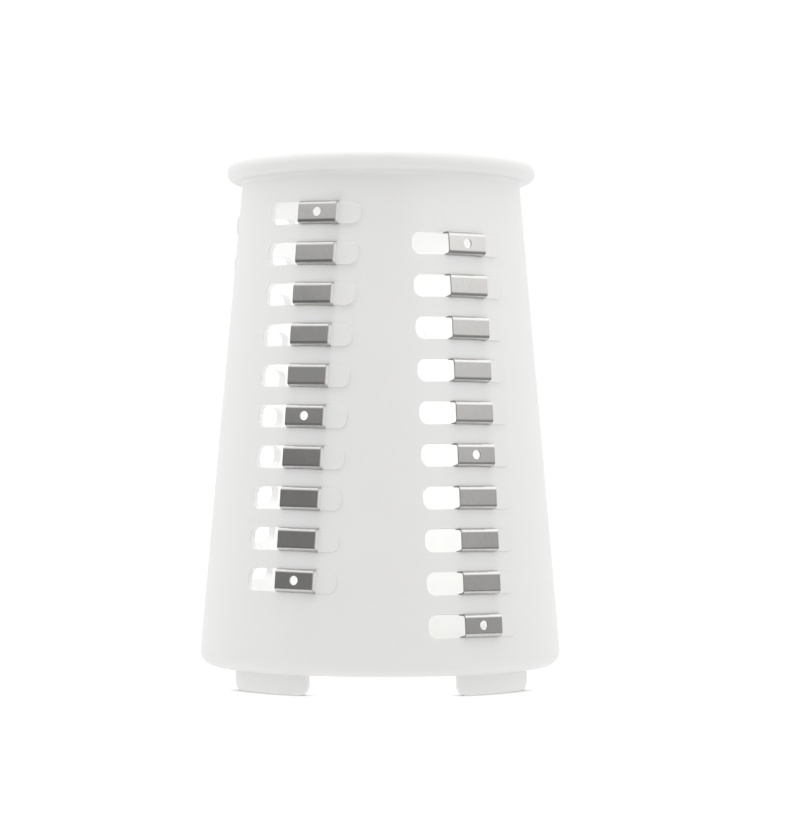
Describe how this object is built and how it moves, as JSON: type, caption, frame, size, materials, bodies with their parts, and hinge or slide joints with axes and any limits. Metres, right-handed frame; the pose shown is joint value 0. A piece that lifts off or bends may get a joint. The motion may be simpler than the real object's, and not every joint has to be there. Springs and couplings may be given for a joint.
{
  "type": "rotary grater drum",
  "caption": "Tapered white plastic grating drum with stamped steel cutter strips in its wall, a bead rim on the narrow end and drive lugs under the wide end.",
  "frame": {"origin": "on the drum's axis, in the plane of the drive lugs' feet", "axes": "+Z along the drum's axis towards the narrow end, -Y the front, with a column of cutters 30.4 degrees to each side of it"},
  "size_m": [0.0766, 0.0772, 0.1108],
  "materials": {
    "drum_plastic": "moulded white plastic, soft sheen",
    "cutter_steel": "rolled and stamped stainless sheet"
  },
  "bodies": {
    "root": {"drum_body": "drum_plastic", "cutter_strip_1": "cutter_steel", "cutter_strip_2": "cutter_steel", "cutter_strip_3": "cutter_steel", "cutter_strip_4": "cutter_steel", "cutter_strip_5": "cutter_steel"}
  },
  "joints": []
}
